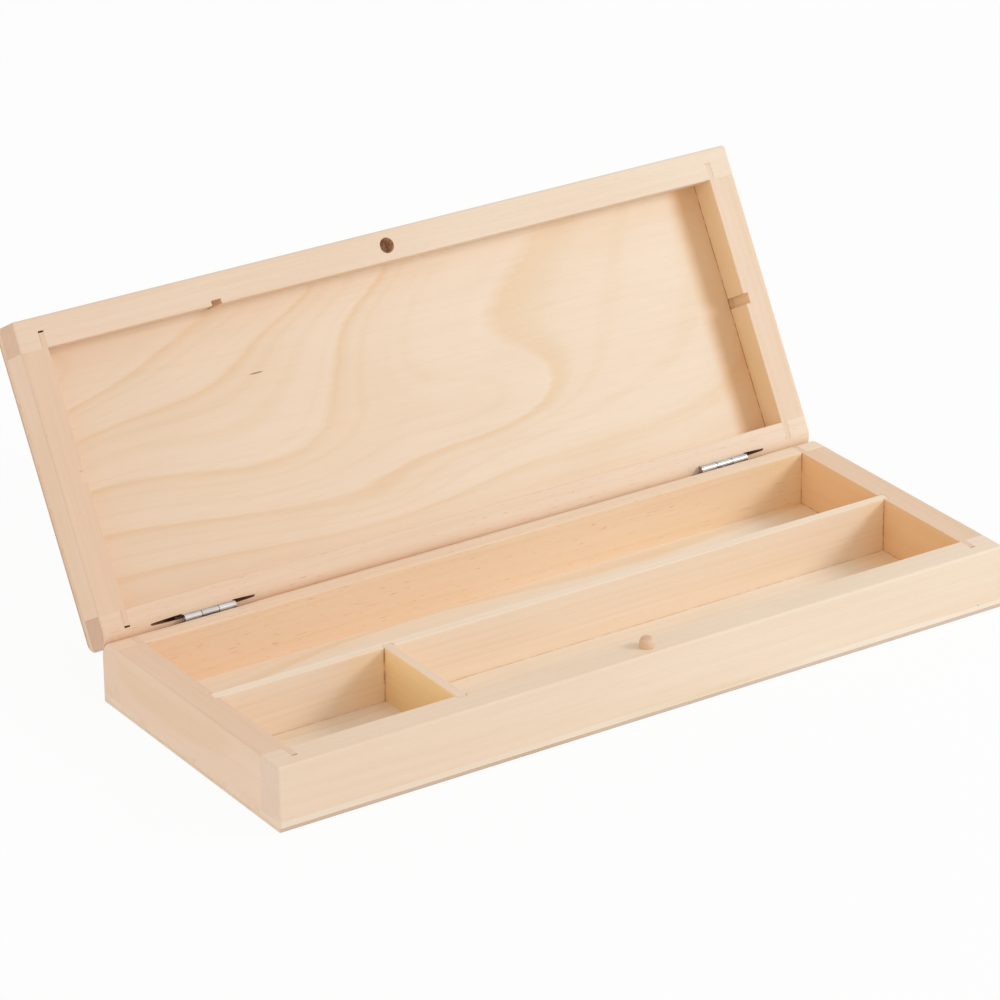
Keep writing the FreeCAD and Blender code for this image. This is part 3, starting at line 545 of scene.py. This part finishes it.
def wood_filler(name, finish, near, far, rise=0.0):
    """Wood filler pressed into a small void of the lid, flush with the wood round it. near and far
    are its corners on the shut box, in millimetres. Where the rail's edge is rounded, its lower
    face rises towards the back by rise."""
    mesh = bmesh.new()
    bmesh.ops.create_cube(mesh, size=1.0)
    near, far = Vector(near), Vector(far)
    bmesh.ops.scale(mesh, verts=mesh.verts, vec=[abs(step) for step in far - near])
    bmesh.ops.translate(mesh, verts=mesh.verts, vec=(near + far) / 2)
    for corner in mesh.verts:
        if corner.co.y > near.y + 0.01 and corner.co.z < far.z - 0.01:
            corner.co.z += rise
    bmesh.ops.bevel(mesh, geom=mesh.edges[:], offset=0.06, affect="EDGES", segments=2,
                    profile=0.5, material=-1)
    opening = Matrix.Rotation(-lid_swing, 4, "X")
    opened = Matrix.Translation(hinge_line) @ opening @ Matrix.Translation(-hinge_line)
    bmesh.ops.transform(mesh, matrix=Matrix.Scale(1 / MM, 4) @ opened, verts=mesh.verts)
    data = bpy.data.meshes.new(name)
    mesh.to_mesh(data)
    mesh.free()
    data.materials.append(finish)
    filler = bpy.data.objects.new(name, data)
    bpy.context.scene.collection.objects.link(filler)
    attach(filler, "lid")


filler_wood = solid_wood("joint_filler_wood", tone=(0.895, 0.725, 0.57, 1.0), heart=(20.0, 40.0),
                         ring_width=1.4, start=2300.0, on_lid=True)
wood_filler("lid_front_joint_filler", filler_wood, (106.74, -40.56, 18.62), (108.33, -40.12, 21.6))
wood_filler("lid_back_joint_filler", filler_wood, (106.74, 40.12, 18.62), (108.33, 40.56, 21.6))
# beside each hinge's lid leaf, and in the left end of the right kerf
wood_filler("left_kerf_filler", filler_wood, (-91.0, 41.05, 18.88), (-75.6, 41.425, 19.7), 0.12)
wood_filler("right_kerf_filler", filler_wood, (76.4, 41.05, 18.88), (91.8, 41.425, 19.7), 0.12)
wood_filler("right_kerf_end_filler", filler_wood, (72.2, 41.04, 18.87), (76.25, 42.3, 19.9), 0.6)


# Floor, light and camera

def seen_straight(tree):
    """One for what the camera sees, plainly or mirrored in steel, and none for what lights the box."""
    ray = put(tree, "ShaderNodeLightPath")
    return larger_of(tree, ray.outputs["Is Camera Ray"], ray.outputs["Is Glossy Ray"])


def pale_floor():
    """A floor that throws light up as white paint does, and looks a shade brighter than paint."""
    mesh = bmesh.new()
    bmesh.ops.create_grid(mesh, x_segments=2, y_segments=2, size=6.0)
    bmesh.ops.translate(mesh, verts=mesh.verts, vec=(0.0, 0.0, -0.0002))
    data = bpy.data.meshes.new("floor")
    mesh.to_mesh(data)
    mesh.free()
    floor = bpy.data.objects.new("floor", data)
    bpy.context.scene.collection.objects.link(floor)

    material, tree = new_finish("floor_white")
    paint = put(tree, "ShaderNodeBsdfDiffuse", Color=(0.92, 0.92, 0.92, 1.0))
    glow = put(tree, "ShaderNodeEmission", Color=(1.0, 1.0, 1.0, 1.0), Strength=1.0)
    glowing = times(tree, seen_straight(tree), 0.93)
    mixed = put(tree, "ShaderNodeMixShader", i0=glowing, i1=paint.outputs[0], i2=glow.outputs[0])
    put(tree, "ShaderNodeOutputMaterial", Surface=mixed.outputs[0])
    data.materials.append(material)


def white_surroundings(strength, colour):
    """White to look at, while the box is lit by the given colour and strength."""
    world = bpy.data.worlds.new("surroundings")
    bpy.context.scene.world = world
    world.use_nodes = True
    tree = world.node_tree
    tree.nodes.clear()
    soft = put(tree, "ShaderNodeBackground", Color=colour, Strength=strength)
    white = put(tree, "ShaderNodeBackground", Color=(1.0, 1.0, 1.0, 1.0), Strength=1.0)
    mixed = put(tree, "ShaderNodeMixShader", i0=seen_straight(tree),
                i1=soft.outputs[0], i2=white.outputs[0])
    put(tree, "ShaderNodeOutputWorld", Surface=mixed.outputs[0])


def soft_lamp(name, place, size, power, colour=(1.0, 1.0, 1.0)):
    """A round lamp that shines at the middle of the box."""
    lamp = bpy.data.lights.new(name, "AREA")
    lamp.shape, lamp.size, lamp.energy, lamp.color = "DISK", size, power, colour
    holder = bpy.data.objects.new(name, lamp)
    bpy.context.scene.collection.objects.link(holder)
    holder.location = place
    middle_of_box = Vector((0.0, 0.0, 0.03))
    aim = middle_of_box - Vector(place)
    holder.rotation_euler = aim.to_track_quat("-Z", "Y").to_euler()


def camera_as_photographed():
    data = bpy.data.cameras.new("camera")
    data.lens, data.sensor_width, data.clip_end = 186.856, 36.0, 60.0
    camera = bpy.data.objects.new("camera", data)
    bpy.context.scene.collection.objects.link(camera)
    camera.location = (-0.69719, -1.03291, 0.61760)
    camera.rotation_euler = [math.radians(a) for a in (65.33526, 0.49313, -33.51866)]
    bpy.context.scene.camera = camera


pale_floor()
white_surroundings(0.67, (1.0, 0.985, 0.965, 1.0))
soft_lamp("main_lamp", (1.02, -0.75, 0.65), 0.44, 7.3, (0.985, 1.0, 1.03))
soft_lamp("low_lamp", (-1.4, -0.1, 0.14), 0.5, 3.7)
camera_as_photographed()
bpy.context.scene.view_settings.view_transform = "Standard"
